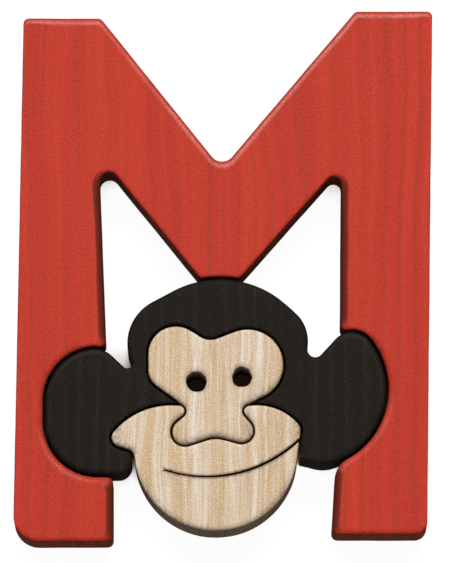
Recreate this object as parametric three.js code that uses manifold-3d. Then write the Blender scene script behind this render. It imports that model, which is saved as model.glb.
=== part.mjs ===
// Alphabet animal puzzle: a letter M and an animal's head that drops in between its legs.
// The head in turn holds a face and a muzzle, which hook into each other at the nose.
// All four pieces are sawn from one board and lift straight out of each other.
// Millimetres. The puzzle lies on its back: +Z is its front, +Y the top of the letter.
import * as THREE from 'three';
import { mergeVertices } from 'three/addons/utils/BufferGeometryUtils.js';
import Module from 'manifold-3d';

// Board, saw and sandpaper
const BOARD = 19;
const KERF = 0.65;
const LETTER_EDGE = 1.1;
const HEAD_EDGE = 1.2;
const POCKET_EDGE = 0.6;
const FACE_EDGE = 0.7;

// Letter: overall height, the gap between the feet and the width of each leg from foot to top
const LETTER_HEIGHT = 127;
const LEG_GAP = 52.6;
const LEFT_FOOT = 24;
const LEFT_SHANK = 21.5;
const LEFT_ARM = 19.2;
const LEFT_TOP = 18.7;
const RIGHT_FOOT = 23;
const RIGHT_SHANK = 21.4;
const RIGHT_ARM = 21.6;
const RIGHT_TOP = 18.6;
// It is sawn by hand, a little out of square: the legs lean and the right one stands higher
const LEFT_LEAN = 2.2;
const RIGHT_LEAN = 1.4;
const RIGHT_RISE = 1.7;
const RIGHT_FOOT_LEAN = 0.7;
// Wood above each counter, wood below the V, the tip that rests on the crown
const LEFT_ARM_DEPTH = 37.5;
const RIGHT_ARM_DEPTH = 40.2;
const WEB_DEPTH = 28;
const TIP_WIDTH = 11.2;
const TIP_OFFSET = 1;
const VEE_ROUND = 3.2;
const VEE_OFFSET = 0.5;
const LEFT_COUNTER_ROUND = 2.3;
const RIGHT_COUNTER_ROUND = 1.8;
const LEFT_FOOT_ROUND = 6;
const RIGHT_FOOT_ROUND = 2.9;
const SHOULDER_ROUND = 6;
const CORNER_EXTRA = 0.3;

// Muzzle: the chin stands just above the feet, the cheeks reach out to either side of the jaw.
// The mouth is an arc below the nose, sawn in from the right
const HEAD_OFFSET = -1.6;
const CHIN_LIFT = 1.7;
const MUZZLE_HEIGHT = 30.3;
const JAW_ROUND = 19.6;
const LEFT_CHEEK_REACH = 25;
const LEFT_CHEEK_ROUND = 17.9;
const LEFT_CHEEK_TIP = 2.1;
const LEFT_CHEEK_TURN = 140;
const RIGHT_CHEEK_REACH = 20.3;
const RIGHT_CHEEK_ROUND = 13.3;
const RIGHT_CHEEK_TIP = 2.1;
const RIGHT_CHEEK_TURN = 41.5;
const LOBE_END = 1.2;
const MOUTH_ROUND = 32.2;
const MOUTH_DROP = 17.2;
const MOUTH_OFFSET = -2.2;
const MOUTH_START = -12.6;
const MOUTH_CUT = 0.75;

// Face: the nose hangs into the muzzle on a narrow neck, the brow has two lobes with a dip between
const NECK_LEFT = 8.85;
const NECK_RIGHT = 8.1;
const NOSE_LEFT = 7.4;
const NOSE_LEFT_RUN = 2.1;
const NOSE_LEFT_ROUND = 3;
const NOSE_RIGHT = 6.2;
const NOSE_RIGHT_RUN = 2.4;
const NOSE_RIGHT_ROUND = 2.7;
const LIP_RISE = 1.3;
const LIP_ROUND = 7.3;
const FACE_WIDTH = 32.3;
const FACE_RISE = 19.1;
const BROW_LEFT_ROUND = 6.5;
const BROW_RIGHT_DROP = 0.75;
const BROW_RIGHT_LIFT = 0.7;
const BROW_DIP = 3.25;
const BROW_DIP_ROUND = 4.6;
const BROW_DIP_OFFSET = -1.3;
const TEMPLE_DROP = 3.9;
const TEMPLE_ROUND = 4.85;
const EYE_BORE = 4.8;
const EYE_LEFT = 4.7;
const EYE_LEFT_LIFT = 5.7;
const EYE_RIGHT = 6.3;
const EYE_RIGHT_LIFT = 6.9;

// Head: wood left round the face, the notch above each ear, the hook under the left cheek
const CROWN_BAND = 11.6;
const CROWN_ROUND = 23.8;
const LEFT_BAND = 5.2;
const LEFT_SKULL_ROUND = 11.3;
const LEFT_SKULL_DROP = 15.5;
const RIGHT_BAND = 6.1;
const RIGHT_SKULL_ROUND = 9.3;
const RIGHT_SKULL_DROP = 15;
const LEFT_NOTCH_ROUND = 1.1;
const LEFT_NOTCH_DROP = 5;
const RIGHT_NOTCH_ROUND = 1.9;
const RIGHT_NOTCH_DROP = 2;
const HOOK_DROP = 4.8;
const HOOK_TIP = 1.4;
const HOOK_DEPTH = 4.1;
const HOOK_ROUND = 3.3;
// Ears: each reaches into its leg and leaves a rim of the leg outside it
const LEFT_RIM = 6.5;
const LEFT_EAR_ROUND = 12.7;
const LEFT_EAR_SIDE = 5.1;
const LEFT_EAR_TIP = 6;
const LEFT_EAR_TURN = 97;
const RIGHT_RIM = 9.6;
const RIGHT_EAR_LIFT = 4.1;
const RIGHT_EAR_ROUND = 18.8;
const RIGHT_EAR_TIP = 5.3;
const RIGHT_EAR_TURN = 39;
const RIGHT_EAR_BASE = 8.5;
const RIGHT_EAR_BASE_TURN = -70;

// Fineness of the model: how far a chord may stray from its arc, and the steps across a sanded edge
const ARC_SAG = 0.03;
const EDGE_STEPS = 3;
const EYE_SIDES = 24;
const MOUTH_STEPS = 12;
// How far a cut stands out of the board's faces
const OVERCUT = 0.05;
const CUT_MARGIN = 1;

const wasm = await Module();
wasm.setup();

// Every outline is a belt round circles, walked with the wood on its left.
// The belt goes round the outside of a bulge and round the inside of a hollow.
const bulge = (x, y, radius) => ({ x, y, turn: radius });
const hollow = (x, y, radius) => ({ x, y, turn: -radius });

// The same circle seen from the neighbouring piece, one saw cut away
const across = (circle) => ({ x: circle.x, y: circle.y, turn: -circle.turn - KERF });

// A bulge that touches the inside of a larger one, in the direction of an angle in degrees
function bulgeInside(circle, radius, degrees) {
  const angle = THREE.MathUtils.degToRad(degrees);
  const reach = circle.turn - radius;
  return bulge(circle.x + reach * Math.cos(angle), circle.y + reach * Math.sin(angle), radius);
}

// How far from a circle's centre another lies that touches it, given the distance along the other axis
const besides = (distance, along) => Math.sqrt(Math.max(distance ** 2 - along ** 2, 0));

// Direction of the straight run from one circle to the next, along their common tangent
function runDirection(from, to) {
  const dx = to.x - from.x;
  const dy = to.y - from.y;
  const lean = THREE.MathUtils.clamp((from.turn - to.turn) / Math.hypot(dx, dy), -1, 1);
  return Math.atan2(dy, dx) + Math.asin(lean);
}

// Points of a belt; grow moves the whole outline out from the wood
function belt(circles, grow = 0) {
  const points = [];
  circles.forEach((circle, i) => {
    const before = circles.at(i - 1);
    const after = circles[(i + 1) % circles.length];
    const side = Math.sign(circle.turn);
    const start = runDirection(before, circle);
    const end = runDirection(circle, after);
    const slack = 0.01;
    const sweep = THREE.MathUtils.euclideanModulo(side * (end - start) + slack, 2 * Math.PI) - slack;
    const radius = circle.turn + grow;
    const step = 2 * Math.acos(1 - Math.min(ARC_SAG / Math.abs(radius), 0.5));
    const steps = Math.max(1, Math.ceil(sweep / step));
    for (let k = 0; k <= steps; k += 1) {
      const angle = start + (side * Math.max(sweep, 0) * k) / steps;
      points.push(new THREE.Vector2(
        circle.x + radius * Math.sin(angle), circle.y - radius * Math.cos(angle),
      ));
    }
  });
  return points.filter((point, i) => point.distanceTo(points.at(i - 1)) > ARC_SAG);
}

// A board-thick piece with sanded edges; a negative edge flares out instead
function boardFrom(points, edge) {
  const round = Math.abs(edge);
  const geometry = new THREE.ExtrudeGeometry(new THREE.Shape(points), {
    depth: BOARD - 2 * round,
    bevelThickness: round,
    bevelSize: edge,
    bevelOffset: -edge,
    bevelSegments: EDGE_STEPS,
  });
  return geometry.translate(0, 0, round);
}

// A cut through the board with its own edges sanded; it stands a hair out of both faces
function pocketFrom(points) {
  const pocket = boardFrom(points, -POCKET_EDGE).translate(0, 0, -BOARD / 2);
  return pocket.scale(1, 1, 1 + OVERCUT / BOARD).translate(0, 0, BOARD / 2);
}

function solidFrom(geometry) {
  const bare = geometry.clone();
  bare.deleteAttribute('normal');
  bare.deleteAttribute('uv');
  const merged = mergeVertices(bare, 1e-4);
  return new wasm.Manifold(new wasm.Mesh({
    numProp: 3,
    vertProperties: new Float32Array(merged.attributes.position.array),
    triVerts: new Uint32Array(merged.index.array),
  }));
}

function geometryFrom(solid) {
  const mesh = solid.getMesh();
  const geometry = new THREE.BufferGeometry();
  geometry.setAttribute('position', new THREE.BufferAttribute(new Float32Array(mesh.vertProperties), 3));
  geometry.setIndex(new THREE.BufferAttribute(new Uint32Array(mesh.triVerts), 1));
  geometry.computeVertexNormals();
  return geometry;
}

function cut(geometry, ...cutters) {
  const solid = cutters.reduce((rest, cutter) => rest.subtract(solidFrom(cutter)), solidFrom(geometry));
  return geometryFrom(solid);
}

// Muzzle outline
const muzzleTop = CHIN_LIFT + MUZZLE_HEIGHT;
const jaw = bulge(HEAD_OFFSET, CHIN_LIFT + JAW_ROUND, JAW_ROUND);

function cheekTop(tipX, round, tip, turn) {
  const reach = (round - tip) * Math.cos(THREE.MathUtils.degToRad(turn));
  return bulge(tipX - reach, muzzleTop - round, round);
}

const leftCheek = cheekTop(
  HEAD_OFFSET - LEFT_CHEEK_REACH + LEFT_CHEEK_TIP, LEFT_CHEEK_ROUND, LEFT_CHEEK_TIP, LEFT_CHEEK_TURN,
);
const leftCheekTip = bulgeInside(leftCheek, LEFT_CHEEK_TIP, LEFT_CHEEK_TURN);
const rightCheek = cheekTop(
  HEAD_OFFSET + RIGHT_CHEEK_REACH - RIGHT_CHEEK_TIP, RIGHT_CHEEK_ROUND, RIGHT_CHEEK_TIP, RIGHT_CHEEK_TURN,
);
const rightCheekTip = bulgeInside(rightCheek, RIGHT_CHEEK_TIP, RIGHT_CHEEK_TURN);
const hookY = leftCheekTip.y - HOOK_DROP;
const hookSeat = hollow(
  jaw.x - besides(JAW_ROUND + HOOK_TIP + KERF, hookY - jaw.y), hookY, HOOK_TIP + KERF,
);
const lobeOn = (cheek, x) => bulge(x, cheek.y + besides(cheek.turn - LOBE_END, x - cheek.x), LOBE_END);
const leftLobe = lobeOn(leftCheek, HEAD_OFFSET - NECK_LEFT);
const rightLobe = lobeOn(rightCheek, HEAD_OFFSET + NECK_RIGHT);

// Face outline

// A nose corner under a lobe of the muzzle, with a straight run between the two rounds
function noseUnder(lobe, x, run, radius) {
  const apart = Math.hypot(LOBE_END + KERF + radius, run);
  return bulge(x, lobe.y - besides(apart, x - lobe.x), radius);
}

const leftNose = noseUnder(leftLobe, HEAD_OFFSET - NOSE_LEFT, NOSE_LEFT_RUN, NOSE_LEFT_ROUND);
const rightNose = noseUnder(rightLobe, HEAD_OFFSET + NOSE_RIGHT, NOSE_RIGHT_RUN, NOSE_RIGHT_ROUND);
const lipTop = Math.max(leftNose.y - NOSE_LEFT_ROUND, rightNose.y - NOSE_RIGHT_ROUND) + LIP_RISE;

// The largest round under the lip that still clears a nose corner
function lipRoomBeside(nose) {
  const above = lipTop - nose.y;
  return ((nose.x - HEAD_OFFSET) ** 2 + above ** 2 - nose.turn ** 2) / (2 * (above + nose.turn));
}

const lipRound = Math.min(LIP_ROUND, lipRoomBeside(leftNose), lipRoomBeside(rightNose));
const lip = hollow(HEAD_OFFSET, lipTop - lipRound, lipRound);
const faceTop = muzzleTop + FACE_RISE;
const faceLeft = HEAD_OFFSET - FACE_WIDTH / 2;
const faceRight = HEAD_OFFSET + FACE_WIDTH / 2;
const leftBrow = bulge(faceLeft + BROW_LEFT_ROUND, faceTop - BROW_LEFT_ROUND, BROW_LEFT_ROUND);
const leftTemple = bulge(faceLeft + TEMPLE_ROUND, leftBrow.y - TEMPLE_DROP, TEMPLE_ROUND);
const rightBrowRound = (FACE_RISE - BROW_RIGHT_DROP - BROW_RIGHT_LIFT - KERF) / 2;
const rightBrow = bulge(
  faceRight - rightBrowRound, faceTop - BROW_RIGHT_DROP - rightBrowRound, rightBrowRound,
);
const browDip = hollow(HEAD_OFFSET + BROW_DIP_OFFSET, faceTop - BROW_DIP + BROW_DIP_ROUND, BROW_DIP_ROUND);
const faceOutline = [
  browDip, leftBrow, leftTemple, across(leftLobe), leftNose, lip, rightNose, across(rightLobe), rightBrow,
];

const muzzleOutline = [
  jaw, rightCheekTip, rightCheek, rightLobe, across(rightNose), across(lip), across(leftNose), leftLobe,
  leftCheek, leftCheekTip, hookSeat,
];
// What the head leaves free for the muzzle: the same outline without the nose
const muzzleSeat = [jaw, rightCheekTip, rightCheek, leftCheek, leftCheekTip, hookSeat];

// Outer edges of the two legs, at any height
const leftOuter = (y) => -LEG_GAP / 2 - LEFT_FOOT + (LEFT_LEAN * y) / LETTER_HEIGHT;
const rightOuter = (y) => LEG_GAP / 2 + RIGHT_FOOT + (RIGHT_LEAN * y) / LETTER_HEIGHT;

// Head outline
const crownTop = faceTop + CROWN_BAND;
const crown = bulge(HEAD_OFFSET + TIP_OFFSET, crownTop - CROWN_ROUND, CROWN_ROUND);
const leftSkull = bulge(
  faceLeft - LEFT_BAND + LEFT_SKULL_ROUND, crownTop - LEFT_SKULL_DROP, LEFT_SKULL_ROUND,
);
const rightSkull = bulge(
  faceRight + RIGHT_BAND - RIGHT_SKULL_ROUND, crownTop - RIGHT_SKULL_DROP, RIGHT_SKULL_ROUND,
);
const leftEarBase = hookSeat.y - HOOK_DEPTH;
const hookX = hookSeat.x + HOOK_TIP;
const hook = bulge(hookX - HOOK_ROUND, leftEarBase + HOOK_ROUND, HOOK_ROUND);
const hookTurn = hollow(hookX + LEFT_CHEEK_TIP, leftCheekTip.y, LEFT_CHEEK_TIP);
const leftEarY = leftEarBase + LEFT_EAR_ROUND;
const leftEarX = leftOuter(leftEarY) + LEFT_RIM + KERF + LEFT_EAR_ROUND;
const leftEarLower = bulge(leftEarX, leftEarY, LEFT_EAR_ROUND);
const leftEarUpper = bulge(leftEarX, leftEarY + LEFT_EAR_SIDE, LEFT_EAR_ROUND);
const leftEarTip = bulgeInside(leftEarUpper, LEFT_EAR_TIP, LEFT_EAR_TURN);
const rightEarY = muzzleTop + RIGHT_EAR_LIFT;
const rightEar = bulge(
  rightOuter(rightEarY) - RIGHT_RIM - KERF - RIGHT_EAR_ROUND, rightEarY, RIGHT_EAR_ROUND,
);
const rightEarTip = bulgeInside(rightEar, RIGHT_EAR_TIP, RIGHT_EAR_TURN);
const rightEarBase = bulgeInside(rightEar, RIGHT_EAR_BASE, RIGHT_EAR_BASE_TURN);

// The notch between the skull and an ear; side is -1 on the left and 1 on the right.
// It lies against the skull, and where an ear stands too close it slides up until it touches both.
function notchBetween(skull, ear, radius, drop, side) {
  const reach = skull.turn + radius;
  const earReach = ear.turn + radius;
  const apart = Math.hypot(ear.x - skull.x, ear.y - skull.y);
  const lean = Math.asin(THREE.MathUtils.clamp(drop / reach, -1, 1));
  const earLean = Math.atan2(skull.y - ear.y, side * (ear.x - skull.x));
  const share = (apart ** 2 + reach ** 2 - earReach ** 2) / (2 * apart * reach);
  const angle = share > 1 ? lean : Math.min(lean, earLean - Math.acos(Math.max(share, -1)));
  return hollow(skull.x + side * reach * Math.cos(angle), skull.y - reach * Math.sin(angle), radius);
}

const leftNotch = notchBetween(leftSkull, leftEarTip, LEFT_NOTCH_ROUND, LEFT_NOTCH_DROP, -1);
const rightNotch = notchBetween(rightSkull, rightEarTip, RIGHT_NOTCH_ROUND, RIGHT_NOTCH_DROP, 1);
// Past the hook the outline turns in behind the left cheek and runs behind the nose to the right ear,
// where the muzzle is let in
const headOutline = [
  crown, leftSkull, leftNotch, leftEarTip, leftEarUpper, leftEarLower, hook, hookTurn, rightNose,
  rightEarBase, rightEar, rightEarTip, rightNotch, rightSkull,
];

// Letter outline
const cornerRound = LETTER_EDGE + CORNER_EXTRA;
const leftFootY = -RIGHT_RISE / 2;
const rightFootY = RIGHT_RISE / 2;
const leftTopY = leftFootY + LETTER_HEIGHT;
const rightTopY = rightFootY + LETTER_HEIGHT;

// A corner at x where the letter meets a piece that lies in it; side is 1 above that piece and -1 below
function cornerOn(seat, x, side, radius) {
  return bulge(x, seat.y + side * besides(seat.turn + KERF + radius, x - seat.x), radius);
}

// The letter round the upper end of an ear: its corner stands on the ear's tip or, on a narrow leg,
// on the ear. Side is -1 on the left and 1 on the right.
function overEar(ear, tip, turn, x, side) {
  const tipReach = (tip.turn + KERF + cornerRound) * Math.cos(THREE.MathUtils.degToRad(turn));
  const onTip = side * (x - tip.x) < side * tipReach;
  const seats = onTip ? [ear, tip] : [ear];
  return [...seats.map(across), cornerOn(seats.at(-1), x, 1, cornerRound)];
}

const leftLedgeX = -LEG_GAP / 2 - cornerRound;
const leftLedge = cornerOn(leftEarLower, Math.min(leftLedgeX, leftEarX), -1, cornerRound);
const leftShankX = leftOuter(leftEarTip.y) + LEFT_SHANK - cornerRound;
const rightShankX = rightOuter(rightEarTip.y) - RIGHT_SHANK + cornerRound;
const leftCounterY = leftTopY - LEFT_ARM_DEPTH - LEFT_COUNTER_ROUND;
const rightCounterY = rightTopY - RIGHT_ARM_DEPTH - RIGHT_COUNTER_ROUND;
const letterOutline = [
  bulge(leftOuter(leftFootY) + LEFT_FOOT_ROUND, leftFootY + LEFT_FOOT_ROUND, LEFT_FOOT_ROUND),
  bulge(leftLedgeX, leftFootY + cornerRound, cornerRound),
  bulge(leftLedgeX, leftLedge.y, cornerRound),
  across(leftEarLower),
  ...overEar(leftEarUpper, leftEarTip, LEFT_EAR_TURN, leftShankX, -1),
  hollow(leftOuter(leftCounterY) + LEFT_ARM + LEFT_COUNTER_ROUND, leftCounterY, LEFT_COUNTER_ROUND),
  cornerOn(crown, crown.x - TIP_WIDTH / 2 + cornerRound, 1, cornerRound),
  across(crown),
  cornerOn(crown, crown.x + TIP_WIDTH / 2 - cornerRound, 1, cornerRound),
  hollow(rightOuter(rightCounterY) - RIGHT_ARM - RIGHT_COUNTER_ROUND, rightCounterY, RIGHT_COUNTER_ROUND),
  ...overEar(rightEar, rightEarTip, RIGHT_EAR_TURN, rightShankX, 1).reverse(),
  cornerOn(rightEar, LEG_GAP / 2 + RIGHT_FOOT_LEAN + SHOULDER_ROUND, -1, SHOULDER_ROUND),
  bulge(LEG_GAP / 2 + cornerRound, rightFootY + cornerRound, cornerRound),
  bulge(rightOuter(rightFootY) - RIGHT_FOOT_ROUND, rightFootY + RIGHT_FOOT_ROUND, RIGHT_FOOT_ROUND),
  bulge(rightOuter(rightTopY) - cornerRound, rightTopY - cornerRound, cornerRound),
  bulge(rightOuter(rightTopY) - RIGHT_TOP + cornerRound / 2, rightTopY - cornerRound, cornerRound),
  hollow(crown.x + VEE_OFFSET, crownTop + KERF + WEB_DEPTH + VEE_ROUND, VEE_ROUND),
  bulge(leftOuter(leftTopY) + LEFT_TOP - cornerRound / 2, leftTopY - cornerRound, cornerRound),
  bulge(leftOuter(leftTopY) + cornerRound, leftTopY - cornerRound, cornerRound),
];

// Cuts that go right through: the drilled eyes and the mouth
function eyeCut(x, y) {
  const bore = new THREE.CylinderGeometry(EYE_BORE / 2, EYE_BORE / 2, BOARD + 2 * CUT_MARGIN, EYE_SIDES);
  return bore.rotateX(Math.PI / 2).translate(x, y, BOARD / 2);
}

function mouthCut() {
  const x = HEAD_OFFSET + MOUTH_OFFSET;
  const y = muzzleTop - MOUTH_DROP + MOUTH_ROUND;
  const start = -Math.PI / 2 + Math.asin((MOUTH_START - MOUTH_OFFSET) / MOUTH_ROUND);
  const end = -Math.PI / 2 + Math.asin((RIGHT_CHEEK_REACH - MOUTH_OFFSET) / MOUTH_ROUND);
  const line = new THREE.Shape();
  line.absarc(x, y, MOUTH_ROUND + MOUTH_CUT / 2, start, end, false);
  line.absarc(x, y, MOUTH_ROUND - MOUTH_CUT / 2, end, start, true);
  const slot = new THREE.ExtrudeGeometry(line, {
    depth: BOARD + 2 * CUT_MARGIN, bevelEnabled: false, curveSegments: MOUTH_STEPS,
  });
  return slot.translate(0, 0, -CUT_MARGIN);
}

const redStain = new THREE.MeshStandardMaterial({ color: 0xc04232, roughness: 0.62, metalness: 0 });
const blackStain = new THREE.MeshStandardMaterial({ color: 0x282622, roughness: 0.6, metalness: 0 });
const bareWood = new THREE.MeshStandardMaterial({ color: 0xe6d3b8, roughness: 0.55, metalness: 0 });

function piece(name, geometry, material) {
  const mesh = new THREE.Mesh(geometry, material);
  mesh.name = name;
  return mesh;
}

const letter = piece('letter', boardFrom(belt(letterOutline), LETTER_EDGE), redStain);
const head = piece('head', cut(
  boardFrom(belt(headOutline), HEAD_EDGE),
  pocketFrom(belt(faceOutline, KERF)),
  pocketFrom(belt(muzzleSeat, KERF)),
), blackStain);
const face = piece('face', cut(
  boardFrom(belt(faceOutline), FACE_EDGE),
  eyeCut(HEAD_OFFSET - EYE_LEFT, muzzleTop + EYE_LEFT_LIFT),
  eyeCut(HEAD_OFFSET + EYE_RIGHT, muzzleTop + EYE_RIGHT_LIFT),
), bareWood);
const muzzle = piece('muzzle', cut(boardFrom(belt(muzzleOutline), FACE_EDGE), mouthCut()), bareWood);

// The origin is the middle of the back, the face that lies on the table
const puzzle = new THREE.Group();
puzzle.add(letter, head, face, muzzle);
const middle = new THREE.Box3().setFromObject(puzzle).getCenter(new THREE.Vector3());
puzzle.position.set(-middle.x, -middle.y, 0);

export default puzzle;
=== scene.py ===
"""Looks for a wooden letter puzzle: a red M with an ape's head let in between its legs.

Four boards of 19 mm ash are fret-sawn, sanded round along their edges by hand, stained and put together.
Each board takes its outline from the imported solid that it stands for, and adds what the saw, the sander
and the stain leave: fine roundings that vary along the edge, blade wander, chipped cuts, grain and smudges.
"""

import math
from collections import namedtuple

import bpy
import numpy as np
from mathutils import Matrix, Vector, noise
from mathutils.geometry import delaunay_2d_cdt


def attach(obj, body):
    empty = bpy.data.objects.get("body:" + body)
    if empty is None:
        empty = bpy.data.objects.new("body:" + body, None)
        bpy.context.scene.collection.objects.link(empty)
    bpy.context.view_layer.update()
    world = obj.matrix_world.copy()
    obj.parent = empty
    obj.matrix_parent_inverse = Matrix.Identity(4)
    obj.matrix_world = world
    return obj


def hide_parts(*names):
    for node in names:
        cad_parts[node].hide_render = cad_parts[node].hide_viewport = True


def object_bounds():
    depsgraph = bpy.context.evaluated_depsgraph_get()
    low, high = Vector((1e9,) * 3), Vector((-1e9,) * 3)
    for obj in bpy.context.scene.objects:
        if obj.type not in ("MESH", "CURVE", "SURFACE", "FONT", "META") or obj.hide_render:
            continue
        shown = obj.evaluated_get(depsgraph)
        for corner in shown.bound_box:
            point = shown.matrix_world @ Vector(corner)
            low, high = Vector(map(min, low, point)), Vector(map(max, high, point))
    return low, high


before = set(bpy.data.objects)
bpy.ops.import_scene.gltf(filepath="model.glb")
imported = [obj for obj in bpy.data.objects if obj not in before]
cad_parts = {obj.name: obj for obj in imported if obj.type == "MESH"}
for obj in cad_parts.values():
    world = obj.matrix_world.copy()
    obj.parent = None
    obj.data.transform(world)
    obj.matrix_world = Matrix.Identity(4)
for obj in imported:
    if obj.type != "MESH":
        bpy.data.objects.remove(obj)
cad_box = [list(corner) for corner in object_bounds()]

MM = 0.001                          # shapes are worked in millimetres and stored in metres
THICKNESS = cad_box[1][2] / MM      # the plank that all four boards are sawn from
MIDDLE = THICKNESS / 2

# How finely the boards are drawn
OUTLINE_STEP = 0.8                  # most between two points of an outline
FINE_STEP = 0.35                    # and of one with chipped cuts in it
WELD_DIGITS = 4                     # corners of the solid that agree to so many decimals are one
FLAT_SLACK = 0.002                  # and this close under the top they lie on its flat front
FLAT_RUN = 0.004                    # a point this close to the line of its neighbours adds nothing
SHORT_RUN = 0.09                    # and one this close to the next is the same corner
LONG_RUN = 2.5                      # a run so many times as long as the one beside it is a straight side
SHARP_TURN = math.radians(38)       # outline corners that keep a crisp arris
MITRE_MOST = 2.0                    # most that a sharp corner lengthens the way in
ROUND_STEPS = 7                     # facets of a sanded rounding
WALL_SHARES = (0.16, 0.38, 0.62, 0.84)  # rows of points up the wall between the two roundings
RIM_SHARES = (0.2, 0.6)             # rows of points on the flat, just inside the rounding
RIM_ROOM = 2.4                      # and the most room that they have
FACE_SPACING = 2.6                  # between points of the flat faces
ROW_SHARE = 0.87                    # rows so much closer give even triangles
CLEAR_SHARE = 0.5                   # nearer than this to an outline there is no point
BLUR = 2                            # points to either side that an edge's changes are spread over
STRAIGHT = 1e-3                     # a smaller turn, in radians, is no bend
LEAVING = 0.02                      # a line has left the outline that it starts from after this
SAME_POINT = 1e-7                   # points of a flat face that are closer than this are one
TINY = 1e-9                         # stands for nothing where something is divided by it
FAR = 1e3                           # further than anything in the puzzle

# Waves of the hand, the blade and the torn fibres: how long they are and a layer of the noise for each
SANDING_WAVE = (13.0, 3.1)
RUB_HIGHLIGHT_WAVE = (13.0, 6.2)
BLADE_WAVE = (7.0, 5.3)
DRILL_WAVE = (1.1, 2.6)
CHIP_WAVE = (0.9, 8.7)

# Saw and drill
BLADE_WANDER = 0.05                 # the blade never quite keeps to its line
DRILL_WANDER = 0.2                  # the drill tears the rim of an eye
DRILL_TOAST = 0.3                   # and scorches the wood less than the blade does
CUT_ROUND = 0.1                     # an edge with less rounding in the solid is an eye or the mouth
CHIP_GAIN = 1.6                     # fibres torn out along these cuts: how abruptly they change,
EYE_CHIPS = (0.32, 0.62)            # and how wide the torn rim is at least and at most
MOUTH_CHIPS = (0.12, 0.3)
CUT_CLOSE = 0.03                    # the mouth's fibres close up behind the blade,
CLOSE_SLOPE = 0.05                  # which comes on slowly along the cut
CUT_SWELL = 0.08                    # and most of all at its blind left end:
MOUTH_END, MOUTH_SPAN = 18.0, 32.0  # from here right of the middle, in full so much further left
BARE_SWELL = 0.1                    # bare wood has swollen and closes the cuts round it a little

# Sander: how much of the wood a rounding may take, and how fast that changes along the edge
SANDING_SHARE = 0.22                # the hand presses harder here and there
ROOM_SHARE, ROOM_MOST = 0.42, 6.0   # of the way to the board's far side, and at most
BEND_SHARE = 0.8                    # of the radius of a bend
ARRIS_ROOM = 0.12                   # a crisp corner is hardly sanded
ROUND_SHARE = 0.8                   # what a rounding leaves of its room is for the rim
ROOM_SLOPE, ROUND_SLOPE = 0.55, 0.5
FREE_SHARE = 0.97                   # a corner's centre with this much of its radius round it is free
SOFT_SPARE, SPARE_SLOPE = 0.3, 0.3  # where it isn't, the rim is this share of the softening

# Where the letter's parts are, from the middle of the puzzle
TOP_FROM, TOP_FADE = 5.0, 10.0      # its top starts here, and is the top in full so much higher
SOLE_FROM, SOLE_FADE = -50.0, 8.0   # its soles start here, and are soles in full so much lower
FEET, LEGS = -45.5, -17.5           # the feet end and the legs start; the head's pockets lie between
POCKET_HALF = 46.0                  # and reach this far out to either side
LEDGE_UP = 0.5                      # a pocket's floor turns up more than this
FOOT_UP, LEG_UP = 0.8, 0.35         # an edge that turns up more than this isn't an inner side

# How the letter was sanded: what each place adds to the share of the solid's rounding
PRESS_ALL = 0.7
PRESS_TOP = 0.85
PRESS_SOLE = 0.35
PRESS_INNER = 1.1
PRESS_POCKET = 0.6
PRESS_FENCE = -0.35                 # the outer sides were run along a fence and stay nearly square,
FENCE_SQUARE = 8                    # the more so the more upright they are

# Painted shade on the letter's inner sides, and a painted highlight where its stain is also rubbed thin
INNER_SHADE_FOOT, INNER_SHADE_LEG = 0.7, 5.0      # painted shade on all sides of the feet, but on the legs' upright ones only
RUB_HIGHLIGHT_TOP = 1.5                       # a painted highlight, where the stain is also rubbed, on all that turns up to the lamp,
RUB_HIGHLIGHT_MEAN, RUB_HIGHLIGHT_SPREAD = 0.85, 1.2    # in patches
RUB_HIGHLIGHT_LEAST, RUB_HIGHLIGHT_MOST = 0.3, 1.5
EARS_FROM, EARS_FADE = 24.0, 6.0    # the head's ears start here, to either side
RUB_HIGHLIGHT_EARS = 0.6                      # and get less of it

# How the marks of an edge change along its rounding, from 0 at the wall to 1 at the flat
SAWN_FADE = 2.2                     # the sawn look soon ends
TOAST_FADE = 0.25                   # scorching hardly fades
INNER_SHADE_FADE = 0.1                     # the painted inner shade ends at the flat
WORN_HIGHLIGHT_PLACE, WORN_HIGHLIGHT_WIDTH = 0.82, 0.19     # the painted highlight and thin-rubbed stain sit where the rounding leaves the flat
FLATS, ROUNDS, UPPER = ("back", "front"), ("under", "over"), ("over", "front")

# One outline of a board with all that its edge needs, point by point. Inward points into the wood, and
# reach is how far the rounding goes that way. The last four tell edges that the drill or the blade
# scorched, edges with painted shade on the letter's inner sides, edges with a painted highlight where they
# face the lamp and the stain is also rubbed thin, and edges that face the letter's feet, away from the lamp.
Edge = namedtuple("Edge", "ring corners inward reach rounding spare scorched pooled worn low")


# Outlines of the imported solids
def ring_area(ring):
    """The area inside the ring, below nothing if the ring runs clockwise."""
    ahead = np.roll(ring, -1, 0)
    return float((ring[:, 0] * ahead[:, 1] - ring[:, 1] * ahead[:, 0]).sum() / 2)


def welded_triangles(node):
    """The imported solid's corners in mm, each once, and its triangles."""
    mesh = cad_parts[node].data
    mesh.calc_loop_triangles()
    points = np.array([vertex.co for vertex in mesh.vertices]) / MM
    points, welded = np.unique(points.round(WELD_DIGITS), axis=0, return_inverse=True)
    welded = welded.reshape(-1)
    return points, [tuple(welded[list(triangle.vertices)]) for triangle in mesh.loop_triangles]


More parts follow.
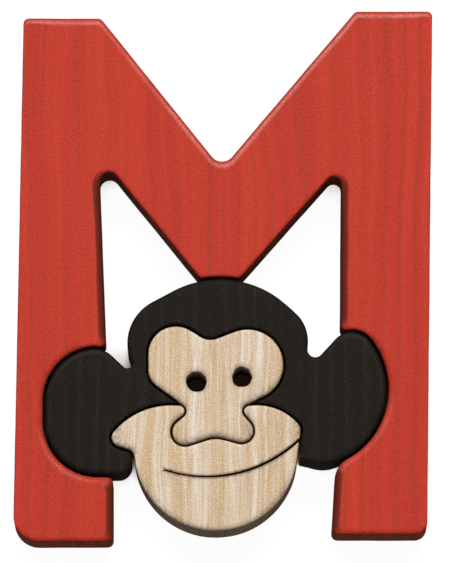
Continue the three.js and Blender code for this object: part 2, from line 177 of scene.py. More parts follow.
def sawn_outlines(points, triangles):
    """The board's outlines half way through its thickness, each with the wood on its left."""
    above = points[:, 2] > MIDDLE
    beside = {}
    for a, b, c in triangles:
        crossed = [(min(p, q), max(p, q)) for p, q in ((a, b), (b, c), (c, a)) if above[p] != above[q]]
        if len(set(crossed)) == 2:
            beside.setdefault(crossed[0], []).append(crossed[1])
            beside.setdefault(crossed[1], []).append(crossed[0])
    rings = []
    while beside:
        ring, here = [], next(iter(beside))
        while here:
            low, high = points[here[0]], points[here[1]]
            share = (MIDDLE - low[2]) / (high[2] - low[2])
            ring.append((low + (high - low) * share)[:2])
            onward = [line for line in beside.pop(here) if line in beside]
            here = onward[0] if onward else None
        rings.append(np.array(ring))
    rings.sort(key=lambda ring: -abs(ring_area(ring)))
    return [
        ring if (ring_area(ring) > 0) == (place == 0) else ring[::-1]
        for place, ring in enumerate(rings)
    ]


def flat_boundary(points, triangles):
    """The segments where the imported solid's front face meets its rounding."""
    uses = {}
    for a, b, c in triangles:
        if min(points[a][2], points[b][2], points[c][2]) > THICKNESS - FLAT_SLACK:
            for side in ((a, b), (b, c), (c, a)):
                side = tuple(sorted(side))
                uses[side] = uses.get(side, 0) + 1
    ends = np.array([(points[p][:2], points[q][:2]) for (p, q), count in uses.items() if count == 1])
    return ends[:, 0], ends[:, 1]


def turns_of(ring):
    """At each point: headings in and out, lengths in and out, and the turn to the left."""
    run = np.roll(ring, -1, 0) - ring
    length = np.hypot(*run.T)
    heading = run / length[:, None]
    before, length_before = np.roll(heading, 1, 0), np.roll(length, 1)
    cross = before[:, 0] * heading[:, 1] - before[:, 1] * heading[:, 0]
    turn = np.arctan2(cross, (before * heading).sum(1))
    return before, heading, length_before, length, turn


def evened_outline(ring, step):
    """The ring on smooth curves through its points, a step apart at most, and which points are sharp."""
    ring = ring[np.hypot(*(np.roll(ring, -1, 0) - ring).T) > SHORT_RUN]
    run = np.roll(ring, -1, 0) - np.roll(ring, 1, 0)
    lean = ring - np.roll(ring, 1, 0)
    ring = ring[np.abs(run[:, 0] * lean[:, 1] - run[:, 1] * lean[:, 0]) / np.hypot(*run.T) > FLAT_RUN]
    before, heading, length_before, length, turn = turns_of(ring)
    smooth = before * length[:, None] + heading * length_before[:, None]
    long_before, long_after = length_before > LONG_RUN * length, length > LONG_RUN * length_before
    smooth[long_before], smooth[long_after] = before[long_before], heading[long_after]
    smooth /= np.hypot(*smooth.T)[:, None]
    sharp = np.abs(turn) > SHARP_TURN
    leave = np.where(sharp[:, None], heading, smooth)
    arrive = np.where(sharp[:, None], before, smooth)
    points, corners = [], []
    for i in range(len(ring)):
        j = (i + 1) % len(ring)
        count = max(1, math.ceil(length[i] / step))
        for k in range(count):
            t = k / count
            points.append(
                ring[i] * (2 * t**3 - 3 * t**2 + 1) + ring[j] * (3 * t**2 - 2 * t**3)
                + leave[i] * length[i] * (t**3 - 2 * t**2 + t) + arrive[j] * length[i] * (t**3 - t**2)
            )
            corners.append(bool(sharp[i]) and k == 0)
    return np.array(points), np.array(corners)


# Measuring along and inside the outlines
def sides_of(rings):
    """Where each side of the rings starts, and where it ends."""
    return np.concatenate(rings), np.concatenate([np.roll(ring, -1, 0) for ring in rings])


def to_segments(points, starts, ends):
    """Each point's distance to the nearest of the segments."""
    run = ends - starts
    share = ((points[:, None] - starts) * run).sum(2) / np.maximum((run**2).sum(1), TINY**2)
    nearest = starts + run * np.clip(share, 0, 1)[..., None]
    return np.sqrt(((points[:, None] - nearest) ** 2).sum(2).min(1))


def way_ahead(points, heading, starts, ends):
    """How far each point can go straight ahead before it meets one of the segments."""
    run = ends - starts
    gap = starts - points[:, None]
    cross = heading[:, None, 0] * run[:, 1] - heading[:, None, 1] * run[:, 0]
    cross = np.where(np.abs(cross) < TINY, TINY, cross)
    reach = (gap[..., 0] * run[:, 1] - gap[..., 1] * run[:, 0]) / cross
    share = (gap[..., 0] * heading[:, None, 1] - gap[..., 1] * heading[:, None, 0]) / cross
    return np.where((share >= 0) & (share <= 1) & (reach > LEAVING), reach, FAR).min(1)


def eased(values, ring, slope):
    """The values held down so that they never change faster than the slope along the ring."""
    length = np.hypot(*(np.roll(ring, -1, 0) - ring).T)
    values = values.copy()
    for i in list(range(len(values))) * 2:
        values[i] = min(values[i], values[i - 1] + slope * length[i - 1])
    for i in list(range(len(values) - 1, -1, -1)) * 2:
        j = (i + 1) % len(values)
        values[i] = min(values[i], values[j] + slope * length[i])
    return values


def blurred(values):
    """The values, each the mean of itself and its neighbours round the ring."""
    wrapped = np.concatenate([values[-BLUR:], values, values[:BLUR]])
    return np.convolve(wrapped, np.ones(2 * BLUR + 1) / (2 * BLUR + 1), "valid")


def unevenness(points, wave):
    """Smooth hand-made variation from -1 to 1."""
    size, layer = wave
    return np.array([noise.noise(Vector((x / size, y / size, layer))) for x, y in points])


def inside(points, rings):
    """Which points lie in the wood."""
    odd = np.zeros(len(points), bool)
    for ring in rings:
        ahead = np.roll(ring, -1, 0)
        for (ax, ay), (bx, by) in zip(ring, ahead):
            if ay != by:
                crosses = (ay > points[:, 1]) != (by > points[:, 1])
                odd ^= crosses & (points[:, 0] < ax + (points[:, 1] - ay) * (bx - ax) / (by - ay))
    return odd


# How each board was sanded and stained by hand: what to multiply the imported solid's rounding by, how much
# painted highlight it gets where its stain is also rubbed thin, and how much painted shade
def evenly_sanded(points, outward, inner):
    """The solid's own rounding all the way round, and no painted highlight or painted shade."""
    return np.ones(len(points)), np.zeros(len(points)), np.zeros(len(points))


def head_sanded(points, outward, inner):
    """The tops of the ears get a little painted highlight, where their stain is also rubbed thin."""
    ears = np.clip((np.abs(points[:, 0]) - EARS_FROM) / EARS_FADE, 0, 1)
    # painted highlight on the ear tops that face the lamp
    rub_and_highlight = RUB_HIGHLIGHT_EARS * np.clip(outward[:, 1], 0, 1) * (1 - inner) * ears
    return np.ones(len(points)), rub_and_highlight, np.zeros(len(points))


def letter_sanded(points, outward, inner):
    """The letter's top edges and the notch between its arms are sanded widest, then the inner sides of its
    legs and feet and the head's pockets. The tops and the pockets' lower edges, which face the lamp, get a
    painted highlight where the stain is also rubbed thin, and the inner sides get painted shade."""
    x, y = points.T
    up, down = np.clip(outward[:, 1], 0, 1), np.clip(-outward[:, 1], 0, 1)
    side = np.abs(outward[:, 0])
    high = np.clip((y - TOP_FROM) / TOP_FADE, 0, 1)
    low = np.clip((SOLE_FROM - y) / SOLE_FADE, 0, 1)
    pocket = (y < LEGS) & (np.abs(x) < POCKET_HALF) & ((y > FEET) | (up > LEDGE_UP))
    # painted shade along the inner sides of the feet and legs, none in the head's pockets
    pooled = inner * side ** np.where(y < FEET, INNER_SHADE_FOOT, INNER_SHADE_LEG)
    pooled = blurred(np.where(pocket, 0.0, pooled))
    pressed = PRESS_ALL + PRESS_TOP * up * high + PRESS_SOLE * down * low
    pressed += PRESS_INNER * pooled + PRESS_POCKET * pocket + PRESS_FENCE * (1 - inner) * side**FENCE_SQUARE
    # painted highlight on what faces the lamp, where the stain is also rubbed thin, in patches
    rub_and_highlight = np.maximum(np.clip(RUB_HIGHLIGHT_TOP * up, 0, 1) * high, up * side * pocket)
    patches = np.clip(RUB_HIGHLIGHT_MEAN + RUB_HIGHLIGHT_SPREAD * unevenness(points, RUB_HIGHLIGHT_WAVE), RUB_HIGHLIGHT_LEAST, RUB_HIGHLIGHT_MOST)
    return pressed, rub_and_highlight * patches, pooled


# Edges
def wood_room(ring, corners, inward, soft, sides):
    """How far in from each point a rounding and its rim may go. Corners that are softened need no room of
    their own."""
    _, _, length_before, length, turn = turns_of(ring)
    room = np.minimum(ROOM_SHARE * way_ahead(ring, inward, *sides), ROOM_MOST)
    if not soft:
        bend = np.where(turn > STRAIGHT, (length + length_before) / 2 / np.maximum(turn, STRAIGHT), FAR)
        room = np.where(corners & (turn > 0), ARRIS_ROOM, np.minimum(room, BEND_SHARE * bend))
    return eased(room, ring, ROOM_SLOPE)


def softened_corners(ring, inward, rounding, soft, sides):
    """The way in from each outline point and how far along it the rounding reaches, so that the flat ends
    in corners of the soft radius where the outline turns more sharply than that; and which points are free
    of such a corner."""
    radius = rounding + soft
    centre = ring + inward * radius[:, None]
    free = to_segments(centre, *sides) > FREE_SHARE * radius
    moved = centre.copy()
    for i in np.flatnonzero(~free):
        before, after = i, i
        while not free[before]:
            before -= 1
        while not free[after]:
            after = (after + 1) % len(ring)
        share = (i - before) / ((after - before) % len(ring))
        moved[i] = centre[before] * (1 - share) + centre[after] * share
    way = moved - ring
    distance = np.hypot(*way.T)
    return way / distance[:, None], distance - soft, free


def strayed(ring, cut, hole, swell):
    """How far the blade or the drill strayed into the wood; less than nothing leaves wood standing."""
    wander = BLADE_WANDER * unevenness(ring, BLADE_WAVE)
    if hole:
        return wander + DRILL_WANDER * unevenness(ring, DRILL_WAVE)
    blind = np.clip((MOUTH_END - ring[:, 0]) / MOUTH_SPAN, 0, 1)
    return wander - swell - eased(CUT_CLOSE * cut, ring, CLOSE_SLOPE) - CUT_SWELL * blind * cut


def planned_edge(ring, corners, hole, flat, sides, sanded, soft, swell):
    """One outline, with the rounding that the sander leaves on it and room for that in the wood."""
    before, heading, _, _, turn = turns_of(ring)
    along = before + heading
    along /= np.hypot(*along.T)[:, None]
    inward = np.stack([-along[:, 1], along[:, 0]], 1)
    rounding = to_segments(ring, *flat)
    cut = rounding < CUT_ROUND
    turned_up = -inward[:, 1] > np.where(ring[:, 1] < FEET, FOOT_UP, LEG_UP)
    inner = blurred(np.where((inward[:, 0] * ring[:, 0] > 0) & ~turned_up, 1.0, 0.0))
    pressed, worn, pooled = sanded(ring, -inward, inner)
    rounding *= pressed * (1 + SANDING_SHARE * unevenness(ring, SANDING_WAVE))
    least, most = EYE_CHIPS if hole else MOUTH_CHIPS
    chips = np.clip(CHIP_GAIN * unevenness(ring, CHIP_WAVE), 0, 1)
    rounding = np.where(cut, least + (most - least) * chips, rounding)
    room = wood_room(ring, corners, inward, soft, sides)
    rounding = eased(np.minimum(rounding, ROUND_SHARE * room), ring, ROUND_SLOPE)
    spare = np.minimum(room - rounding, RIM_ROOM)
    mitre = 1 / np.maximum(np.cos(turn / 2), 1 / MITRE_MOST)
    way, reach = inward * mitre[:, None], rounding
    if soft:
        way, reach, free = softened_corners(ring, inward, rounding, soft, sides)
        spare = eased(np.where(free, spare, np.minimum(spare, SOFT_SPARE * soft)), ring, SPARE_SLOPE)
    sawn = ring + inward * strayed(ring, cut, hole, swell)[:, None]
    scorched = cut * (DRILL_TOAST if hole else 1.0)
    # edges that face the letter's feet, away from the lamp, get painted shade on bare wood
    low = np.clip(inward[:, 1], 0, 1)
    return Edge(sawn, corners, way, reach, rounding, spare, scorched, pooled, worn, low)


def planned_edges(node, sanded, soft, swell, step):
    """All outlines of a board, the outer one first and then its holes."""
    points, triangles = welded_triangles(node)
    flat = flat_boundary(points, triangles)
    outlines = [evened_outline(ring, step) for ring in sawn_outlines(points, triangles)]
    sides = sides_of([ring for ring, _ in outlines])
    return [
        planned_edge(ring, corners, place > 0, flat, sides, sanded, soft, swell)
        for place, (ring, corners) in enumerate(outlines)
    ]


# Boards
def section_layers():
    """A board's section from its back to its front: which part a layer belongs to and how far along it."""
    turns = [math.pi / 2 * step / ROUND_STEPS for step in range(ROUND_STEPS + 1)]
    layers = [("back", share) for share in reversed(RIM_SHARES)]
    layers += [("under", turn) for turn in reversed(turns)]
    layers += [("wall", share) for share in WALL_SHARES]
    layers += [("over", turn) for turn in turns]
    return layers + [("front", share) for share in RIM_SHARES]


def layer_place(edge, part, amount, fall):
    """How far in from the outline and how high one layer's points lie."""
    inset, height = np.zeros(len(edge.ring)), np.zeros(len(edge.ring))
    depth = edge.rounding * fall
    if part in FLATS:
        inset = edge.reach + edge.spare * amount
    elif part in ROUNDS:
        inset = edge.reach * (1 - math.cos(amount))
        height = depth * (1 - math.sin(amount))
    else:
        height = depth + (THICKNESS - 2 * depth) * amount
    return inset, THICKNESS - height if part in UPPER else height


def layer_marks(edge, part, amount, inset):
    """What the finish has to know of one layer's points."""
    flatness = amount / (math.pi / 2) if part in ROUNDS else float(part in FLATS)
    # the band of painted highlight and thin-rubbed stain where the rounding leaves the flat
    worn_highlight_band = math.exp(-((flatness - WORN_HIGHLIGHT_PLACE) / WORN_HIGHLIGHT_WIDTH) ** 2) if part in ROUNDS else 0.0
    toasted = 0.0 if part in FLATS else 1 - TOAST_FADE * flatness
    return {
        "wall": np.full(len(inset), max(0.0, 1 - SAWN_FADE * flatness)),
        # painted highlight with thin-rubbed stain on edges that face the lamp
        "edge": edge.worn * worn_highlight_band,
        "rim": inset,
        "toast": edge.scorched * toasted,
        # painted shade on the letter's inner sides
        "pooled": edge.pooled * (1 - flatness) ** INNER_SHADE_FADE,
        # painted shade on the bare wood's edges that face the letter's feet
        "low": edge.low * (1 - edge.scorched),
    }


def section_faces(rows, edges):
    """The faces between each layer and the next, and the lines along corners that stay crisp."""
    faces, crisp = [], set()
    for lower, upper in zip(rows, rows[1:]):
        for low, high, edge in zip(lower, upper, edges):
            for i in range(len(low)):
                j = (i + 1) % len(low)
                faces.append((low[i], low[j], high[j], high[i]))
                if edge.corners[i]:
                    crisp.add((low[i], high[i]))
    return faces, crisp


def flat_face(rings):
    """Points inside the rings and triangles over the face they bound; the rings' own points come first."""
    starts, ends = sides_of(rings)
    low, high = starts.min(0), starts.max(0)
    rows = np.arange(low[1], high[1], FACE_SPACING * ROW_SHARE)
    grid = np.array([
        (x + (row % 2) * FACE_SPACING / 2, y)
        for row, y in enumerate(rows) for x in np.arange(low[0], high[0], FACE_SPACING)
    ])
    grid = grid[inside(grid, rings)]
    grid = grid[to_segments(grid, starts, ends) > FACE_SPACING * CLEAR_SHARE]
    points = np.concatenate([starts, grid])
    lines, first = [], 0
    for ring in rings:
        lines += [(first + i, first + (i + 1) % len(ring)) for i in range(len(ring))]
        first += len(ring)
    given = [Vector(point) for point in points]
    made, _, triangles, sources, _, _ = delaunay_2d_cdt(given, lines, [], 0, SAME_POINT)
    own = [source[0] if source else None for source in sources]
    if None in own or len(made) != len(points):
        raise ValueError("an outline crosses itself inside its rounding")
    triangles = np.array([[own[corner] for corner in triangle] for triangle in triangles])
    return grid, triangles[inside(points[triangles].mean(1), rings)]


def closed_board(edges, fall):
    """Points, faces, crisp lines and marks of a board whose outlines are the edges."""
    vertices, rows, marks = [], [], {}
    for part, amount in section_layers():
        row = []
        for edge in edges:
            inset, height = layer_place(edge, part, amount, fall)
            row.append(range(len(vertices), len(vertices) + len(edge.ring)))
            vertices += [(*p, z) for p, z in zip(edge.ring + edge.inward * inset[:, None], height)]
            for label, values in layer_marks(edge, part, amount, inset).items():
                marks.setdefault(label, []).extend(values)
        rows.append(row)
    faces, crisp = section_faces(rows, edges)
    sides = sides_of([edge.ring for edge in edges])
    for row, height, flip in ((rows[0], 0.0, True), (rows[-1], THICKNESS, False)):
        grid, triangles = flat_face([np.array([vertices[i][:2] for i in ring]) for ring in row])
        numbers = [i for ring in row for i in ring]
        numbers += range(len(vertices), len(vertices) + len(grid))
        vertices += [(*p, height) for p in grid]
        for label, values in marks.items():
            values += list(to_segments(grid, *sides)) if label == "rim" else [0.0] * len(grid)
        faces += [tuple(numbers[corner] for corner in (t[::-1] if flip else t)) for t in triangles]
    return np.array(vertices), faces, crisp, marks


def smudged(points, smudges):
    """How dark the head's stain has rubbed off on each point."""
    dark = np.zeros(len(points))
    for x, y, spread, depth in smudges:
        near = np.exp(-((points[:, 0] - x) ** 2 + (points[:, 1] - y) ** 2) / spread**2)
        dark = np.maximum(dark, depth * near)
    return dark


def put(name, data):
    """A new object in the scene."""
    item = bpy.data.objects.new(name, data)
    bpy.context.scene.collection.objects.link(item)
    return item


def saw_board(piece, finish, sanded=evenly_sanded, fall=1.0, soft=0.0, swell=0.0, step=OUTLINE_STEP,
              smudges=()):
    """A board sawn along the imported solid's outline and sanded round on both faces, as one closed mesh that
    carries what the finish has to know of each place. Fall is how deep the rounding goes for its width,
    soft the radius that the sander leaves at the corners of the flat, and swell how far the wood grew."""
    vertices, faces, crisp, marks = closed_board(planned_edges(piece, sanded, soft, swell, step), fall)
    marks["smudge"] = smudged(vertices, smudges)
    mesh = bpy.data.meshes.new(f"{piece}_board")
    mesh.from_pydata([tuple(c * MM for c in v) for v in vertices], [], faces)
    mesh.shade_smooth()
    for label, values in marks.items():
        mesh.attributes.new(label, "FLOAT", "POINT").data.foreach_set("value", np.array(values, float))
    mesh.attributes.new("sharp_edge", "BOOLEAN", "EDGE").data.foreach_set(
        "value", [tuple(sorted(line.vertices)) in crisp for line in mesh.edges])
    mesh.materials.append(finish)
    board = put(f"{piece}_board", mesh)
    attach(board, piece)
    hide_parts(piece)


# Wood and stains
RING_WIDTH = 3.9                        # one year's growth across the face
RING_SPREAD = 2.6                       # good and bad years: rings stand closer or further apart
YEARS_SIZE = (9.75, 400.0, 60.0)        # over so much wood, across, up and into the plank
SWAY = 4.0                              # the grain wanders a little from side to side up the plank
SWAY_SIZE = (30.0, 55.0, 40.0)
RELIEF = 0.12                           # depth of the open pores and the blade marks
PIT_FROM, PIT_TO = 0.6, 0.75            # the pores' noise from the level wood to the bottom of a pore
SHEEN_FROM, SHEEN_TO = 0.3, 0.7         # the stripes' noise from the smoothest to the roughest wood
SAWN_ROUGHNESS = 1.0                    # a sawn wall drinks the finish and stays matt
WOOD_IOR = 1.5
# How wide each mark of the grain is, how long up the plank and how deep into it, and how much finer detail
# it has. Real pores, fibres and sanding fuzz are under 0.2 mm and are drawn as coarse as a pixel needs.
GRAIN = {
    "bands": ((2.7, 170.0, 26.0), 1.0),     # early and late wood
    "stripes": ((0.7, 60.0, 3.0), 1.0),     # bundles of fibres
    "fibres": ((0.4, 8.0, 0.4), 0.0),       # single dark fibres
    "pores": ((0.28, 0.7, 0.28), 0.0),      # open pores
    "fuzz": ((0.28, 0.28, 0.28), 0.0),      # fibre ends left by the sanding
    "soil": ((0.9, 0.9, 0.9), 3.0),         # patchiness of rubbed-off stain and of the painted edge shade
    "marks": ((0.6, 0.6, 30.0), 1.0),       # the blade's upright marks on a sawn wall
}


def linear(colour):
    """An sRGB hex colour as the linear values that nodes take."""
    parts = [int(colour[i:i + 2], 16) / 255 for i in (1, 3, 5)]
    return tuple(p / 12.92 if p <= 0.04045 else ((p + 0.055) / 1.055) ** 2.4 for p in parts) + (1.0,)


def per_mm(size):
    """The scale that makes a pattern of this size in mm."""
    return tuple(1 / length for length in size)


def empty_tree(owner):
    """The node tree of a material or a world, with nothing in it yet."""
    owner.use_nodes = True
    owner.node_tree.nodes.clear()
    return owner.node_tree


def add(tree, kind, inputs=None, **settings):
    """Adds a node with its settings. An input takes a value, another node's output, or a node for its first
    output."""
    node = tree.nodes.new(kind)
    for key, value in settings.items():
        setattr(node, key, value)
    for key, value in (inputs or {}).items():
        if isinstance(value, bpy.types.Node):
            value = next(socket for socket in value.outputs if socket.enabled)
        if isinstance(value, bpy.types.NodeSocket):
            tree.links.new(value, node.inputs[key])
        else:
            node.inputs[key].default_value = value
    return node


def grain_of(tree, labels):
    """The named marks: those of the plank's grain, drawn in one piece of wood for all boards, and those
    that the board's mesh carries."""
    place = add(tree, "ShaderNodeTexCoord").outputs["Object"]
    in_mm = add(tree, "ShaderNodeVectorMath", {0: place, "Scale": 1 / MM}, operation="SCALE")
    slow = add(tree, "ShaderNodeMapping", {"Vector": in_mm, "Scale": per_mm(SWAY_SIZE)})
    sway = add(tree, "ShaderNodeTexNoise", {"Vector": slow, "Scale": 1.0, "Detail": 2.0})
    aside = add(tree, "ShaderNodeMapRange", {"Value": sway, "To Min": -SWAY, "To Max": SWAY})
    shift = add(tree, "ShaderNodeCombineXYZ", {"X": aside})
    plank = add(tree, "ShaderNodeVectorMath", {0: in_mm, 1: shift}, operation="ADD")
    across = add(tree, "ShaderNodeSeparateXYZ", {0: plank})
    decade = add(tree, "ShaderNodeMapping", {"Vector": plank, "Scale": per_mm(YEARS_SIZE)})
    luck = add(tree, "ShaderNodeTexNoise", {"Vector": decade, "Scale": 1.0, "Detail": 1.0})
    uneven = add(tree, "ShaderNodeMapRange", {"Value": luck, "To Min": -RING_SPREAD, "To Max": RING_SPREAD})
    years = add(tree, "ShaderNodeMath", {0: across, 1: uneven}, operation="ADD")
    year = add(tree, "ShaderNodeMath", {0: years, 1: RING_WIDTH / 2}, operation="PINGPONG")
    found = {"ring": add(tree, "ShaderNodeMath", {0: year, 1: RING_WIDTH / 2}, operation="DIVIDE")}
    for label in sorted(labels - {"ring"}):
        if label in GRAIN:
            size, detail = GRAIN[label]
            scaled = add(tree, "ShaderNodeMapping", {"Vector": plank, "Scale": per_mm(size)})
            found[label] = add(tree, "ShaderNodeTexNoise", {
                "Vector": scaled, "Scale": 1.0, "Detail": detail})
        else:
            found[label] = add(tree, "ShaderNodeAttribute", attribute_name=label).outputs["Fac"]
    return found


def ash_finish(name, ground, coats, roughness, gloss, relief):
    """A finish on ash: a ground colour, then coats in turn, each a colour and the places where it shows. A
    place is a mark of the grain or of the board, the span of it that counts, and how much of the coat shows
    at either end of that span; several places multiply."""
    material = bpy.data.materials.new(name)
    tree = empty_tree(material)
    shown = {place[0] for _, places in coats for place in places}
    found = grain_of(tree, shown | {"stripes", "pores", "marks", "wall"})
    colour = linear(ground)
    for tone, places in coats:
        share = None
        for label, low, high, least, most in places:
            part = add(tree, "ShaderNodeMapRange", {
                "Value": found[label], "From Min": low, "From Max": high, "To Min": least, "To Max": most})
            if share:
                part = add(tree, "ShaderNodeMath", {0: share, 1: part}, operation="MULTIPLY")
            share = part
        colour = add(tree, "ShaderNodeMix", {0: share, 6: colour, 7: linear(tone)}, data_type="RGBA")
    pits = add(tree, "ShaderNodeMapRange", {
        "Value": found["pores"], "From Min": PIT_FROM, "From Max": PIT_TO, "To Min": 1.0, "To Max": 0.0})
    fibres = add(tree, "ShaderNodeMath", {0: pits, 1: found["stripes"]}, operation="ADD")
    height = add(tree, "ShaderNodeMix", {0: found["wall"], 2: fibres, 3: found["marks"]}, data_type="FLOAT")
    bump = add(tree, "ShaderNodeBump", {"Strength": relief, "Distance": RELIEF * MM, "Height": height})
    smoothest, roughest = roughness
    dull = add(tree, "ShaderNodeMapRange", {
        "Value": found["stripes"], "From Min": SHEEN_FROM, "From Max": SHEEN_TO,
        "To Min": smoothest, "To Max": roughest})
    sheen = add(tree, "ShaderNodeMix", {0: found["wall"], 2: dull, 3: SAWN_ROUGHNESS}, data_type="FLOAT")
    shader = add(tree, "ShaderNodeBsdfPrincipled", {
        "Base Color": colour, "Roughness": sheen, "Normal": bump, "Metallic": 0.0, "IOR": WOOD_IOR,
        "Specular IOR Level": gloss})
    add(tree, "ShaderNodeOutputMaterial", {"Surface": shader})
    return material


# Red dye stain rubbed into sanded ash under a satin wipe-on finish: an even red with upright grain, a soft
# dark column dotted with brown pores in each year ring, a painted pinkish highlight along the top edges and
# the pockets where they face the lamp and the stain is also thinned, brown sawn walls with the blade's
# marks, and painted dark brown shade on the inner sides.
red_dye_on_ash = ash_finish("red_dye_on_ash", "#bc3120", (
    ("#cd3a25", (("bands", 0.3, 0.7, 0.0, 1.0),)),
    ("#b52f1d", (("stripes", 0.3, 0.7, 0.0, 0.35),)),
    ("#aa321f", (("ring", 0.14, 0.34, 0.35, 0.0), ("bands", 0.65, 0.35, 0.2, 1.0))),
    ("#99392a", (
        ("pores", 0.49, 0.67, 0.0, 1.0), ("ring", 0.12, 0.34, 0.95, 0.08), ("bands", 0.7, 0.4, 0.4, 1.0))),
    ("#d15846", (("fuzz", 0.52, 0.75, 0.0, 0.5),)),
    ("#b22a16", (("fuzz", 0.48, 0.25, 0.0, 0.5),)),
    # painted pinkish highlight along the edges that face the lamp, where the stain is also thinned
    ("#d98477", (("edge", 0.0, 1.0, 0.0, 1.0), ("fuzz", 0.3, 0.7, 0.3, 1.0))),
    ("#964a39", (("wall", 0.0, 1.0, 0.0, 0.85),)),
    ("#6a2d21", (("wall", 0.0, 1.0, 0.0, 0.7), ("marks", 0.42, 0.66, 0.0, 1.0))),
    # painted dark brown shade on the letter's inner sides
    ("#4c1c10", (("pooled", 0.0, 1.0, 0.0, 0.95),)),
), roughness=(0.46, 0.54), gloss=0.11, relief=0.2)

# Black stain on sanded ash under the same satin finish, rubbed almost dry: near black, with faint brown
# grain, a painted brown highlight along the tops of the ears, where the sander also thinned it, and the
# blade's marks on the walls.
black_dye_on_ash = ash_finish("black_dye_on_ash", "#12100d", (
    ("#191611", (("bands", 0.3, 0.7, 0.0, 1.0),)),
    ("#201b15", (("stripes", 0.3, 0.7, 0.0, 0.5),)),
    ("#382e25", (
        ("fibres", 0.48, 0.7, 0.0, 1.0), ("ring", 0.08, 0.3, 0.45, 0.06), ("bands", 0.4, 0.6, 0.2, 1.0))),
    ("#3a3027", (("pores", 0.56, 0.74, 0.0, 1.0), ("ring", 0.1, 0.5, 0.6, 0.25))),
    ("#2a261f", (("fuzz", 0.52, 0.76, 0.0, 0.7),)),
    # painted brown highlight along the tops of the ears
    ("#3a322a", (("edge", 0.0, 1.0, 0.0, 0.9),)),
    ("#1a110c", (("wall", 0.0, 1.0, 0.0, 0.6),)),
    ("#2b241d", (("wall", 0.0, 1.0, 0.0, 0.7), ("marks", 0.46, 0.7, 0.0, 1.0))),
), roughness=(0.56, 0.64), gloss=0.055, relief=0.2)

# Bare ash under a clear wipe-on finish: cream late wood, tan early wood with fine brown lines, smudges
# where the head's black stain rubbed off, painted grey shade on the edges that face the letter's feet, away
# from the lamp, walls with the blade's marks, and toasted saw cuts.
clear_finish_on_ash = ash_finish("clear_finish_on_ash", "#d4b185", (
    ("#f1e5d4", (("bands", 0.34, 0.66, 0.0, 1.0),)),
    ("#d0ac82", (("stripes", 0.42, 0.68, 0.0, 0.6),)),
    ("#f1e5d3", (("stripes", 0.46, 0.26, 0.0, 0.35),)),
    ("#c09a6c", (("fibres", 0.5, 0.72, 0.0, 0.6), ("bands", 0.3, 0.7, 1.0, 0.6))),
    ("#faf2e8", (("fuzz", 0.52, 0.76, 0.0, 0.5),)),
    ("#bd9361", (("fuzz", 0.48, 0.24, 0.0, 0.5),)),
    ("#4a3c30", (
        ("smudge", 0.0, 1.0, 0.0, 1.0), ("rim", 0.2, 2.6, 1.0, 0.0), ("soil", 0.38, 0.66, 0.15, 1.0))),
    # painted grey shade on edges that face the letter's feet, away from the lamp
    ("#7d6b59", (
        ("low", 0.1, 1.0, 0.0, 0.85), ("rim", 0.1, 1.5, 1.0, 0.0), ("soil", 0.3, 0.6, 0.6, 1.0))),
    ("#aa927b", (("wall", 0.0, 1.0, 0.0, 0.6),)),
    ("#786450", (("wall", 0.0, 1.0, 0.0, 0.6), ("marks", 0.42, 0.66, 0.0, 1.0))),
    ("#64503f", (("toast", 0.0, 1.0, 0.0, 0.95),)),
), roughness=(0.5, 0.58), gloss=0.14, relief=0.3)

# The four boards, and where black has rubbed off on two of them: a place in mm from the middle of the
# puzzle, how far it spreads and how dark it is
FACE_SMUDGES = (
    (5.6, -38.2, 3.4, 0.75), (-8.2, -40.0, 4.0, 0.6), (10.8, -29.2, 3.2, 0.9), (0.0, -39.5, 5.0, 0.4),
)
MUZZLE_SMUDGES = (
    (-26.2, -38.8, 2.6, 0.85), (-23.8, -41.6, 2.6, 0.7), (-16.0, -56.0, 7.0, 0.45), (13.0, -55.0, 7.0, 0.5),
    (17.6, -37.5, 3.0, 0.6),
)
saw_board("letter", red_dye_on_ash, letter_sanded, fall=0.8, soft=1.6)
saw_board("head", black_dye_on_ash, head_sanded)
saw_board(
    "face", clear_finish_on_ash,
    swell=BARE_SWELL, step=FINE_STEP, smudges=FACE_SMUDGES,
)
saw_board(
    "muzzle", clear_finish_on_ash,
    swell=BARE_SWELL, step=FINE_STEP, smudges=MUZZLE_SMUDGES,
)

# Table, light and camera, in metres
TABLE_HALF = 3.0
SHADOW_REACH = 15 * MM                  # the sheet is darker this close to the boards
SHADOW_RAYS = 32
# the painted shadow's colour in the sheet's nooks
SHADOW_TINT = "#c89a78"
NOOK_DARK, NOOK_CLEAR = 0.08, 0.18      # how open the sheet is where its shadow is full, and where it ends
SHEET_DARK, SHEET_WHITE = 0.012, 0.96   # how bright the sheet is there
SHEET_GREY, WHITE = "#5a5a5a", "#ffffff"
LAMP_HEIGHT = math.radians(62)          # a long soft lamp beyond the letter's top, across the table
LAMP_AWAY, LAMP_LENGTH, LAMP_WIDTH = 3.2, 2.0, 0.6
LAMP_POWER = 93.0
DUSK = 0.19                             # soft light from all round
IMAGE_HEIGHT = 135.8 * MM               # what the photograph spans at the front of the boards
VIEW_TILT = math.radians(6.2)           # it was taken from a little below the letter's feet
VIEW_AWAY = 3.0
VIEW_AIM = Vector((1.5, -1.45, THICKNESS)) * MM     # the middle of the picture
SENSOR = 36.0                           # in millimetres, as Blender has it


def shown_white(tree):
    """1 on rays from the eye, a gloss or through glass, which all see a white background, and else 0."""
    ray = add(tree, "ShaderNodeLightPath")
    beyond = add(tree, "ShaderNodeMath", {
        0: ray.outputs["Is Glossy Ray"], 1: ray.outputs["Is Transmission Ray"]}, operation="MAXIMUM")
    return add(tree, "ShaderNodeMath", {0: ray.outputs["Is Camera Ray"], 1: beyond}, operation="MAXIMUM")


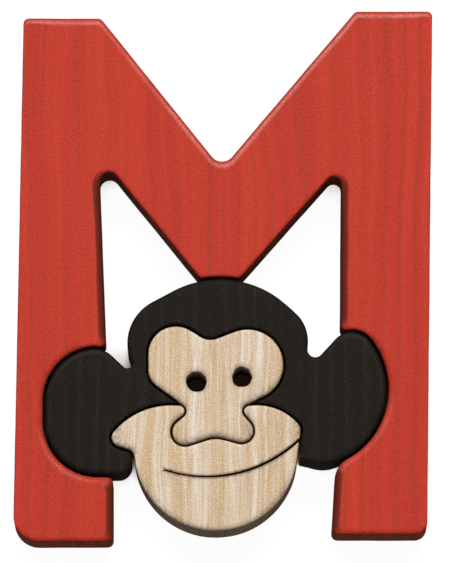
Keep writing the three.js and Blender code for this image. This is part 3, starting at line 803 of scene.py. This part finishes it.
# A white paper sheet with a soft shadow where the boards stand on it: the lamp's real shadow, and a painted
# shadow in the wood's brown that darkens its nooks; to the lamp it is grey, so that it throws little light
# back up
sheet = bpy.data.materials.new("white_table")
tree = empty_tree(sheet)
nook = add(tree, "ShaderNodeAmbientOcclusion", {"Distance": SHADOW_REACH}, samples=SHADOW_RAYS)
clear = add(tree, "ShaderNodeMapRange", {
    "Value": nook.outputs["AO"], "From Min": NOOK_DARK, "From Max": NOOK_CLEAR})
white = add(tree, "ShaderNodeMapRange", {"Value": clear, "To Min": SHEET_DARK, "To Max": SHEET_WHITE})
tinted = add(tree, "ShaderNodeMix", {
    0: clear, 6: linear(SHADOW_TINT), 7: linear(WHITE)}, data_type="RGBA")
glow = add(tree, "ShaderNodeEmission", {"Color": tinted, "Strength": white})
matt = add(tree, "ShaderNodeBsdfDiffuse", {"Color": linear(SHEET_GREY)})
seen = add(tree, "ShaderNodeAddShader", {0: glow, 1: matt})
surface = add(tree, "ShaderNodeMixShader", {0: shown_white(tree), 1: matt, 2: seen})
add(tree, "ShaderNodeOutputMaterial", {"Surface": surface})

table_mesh = bpy.data.meshes.new("table")
table_corners = [(x * TABLE_HALF, y * TABLE_HALF, 0.0) for x, y in ((-1, -1), (1, -1), (1, 1), (-1, 1))]
table_mesh.from_pydata(table_corners, [], [(0, 1, 2, 3)])
table_mesh.materials.append(sheet)
put("table", table_mesh)

world = bpy.data.worlds.new("white_room")
tree = empty_tree(world)
lit = add(tree, "ShaderNodeMapRange", {"Value": shown_white(tree), "To Min": DUSK, "To Max": 1.0})
room = add(tree, "ShaderNodeBackground", {"Color": linear(WHITE), "Strength": lit})
add(tree, "ShaderNodeOutputWorld", {"Surface": room})
bpy.context.scene.world = world

lamp_data = bpy.data.lights.new("soft_lamp", "AREA")
lamp_data.shape, lamp_data.size, lamp_data.size_y = "RECTANGLE", LAMP_LENGTH, LAMP_WIDTH
lamp_data.energy = LAMP_POWER
lamp = put("soft_lamp", lamp_data)
lamp.location = LAMP_AWAY * Vector((0, math.cos(LAMP_HEIGHT), math.sin(LAMP_HEIGHT)))
lamp.rotation_euler = (LAMP_HEIGHT - math.pi / 2, 0, 0)

camera_data = bpy.data.cameras.new("camera")
camera_data.sensor_fit, camera_data.sensor_height = "VERTICAL", SENSOR
camera_data.lens = SENSOR * VIEW_AWAY / IMAGE_HEIGHT
camera = put("camera", camera_data)
camera.location = VIEW_AIM + VIEW_AWAY * Vector((0, -math.sin(VIEW_TILT), math.cos(VIEW_TILT)))
camera.rotation_euler = (VIEW_TILT, 0, 0)
bpy.context.scene.camera = camera

bpy.context.scene.view_settings.view_transform = "Standard"
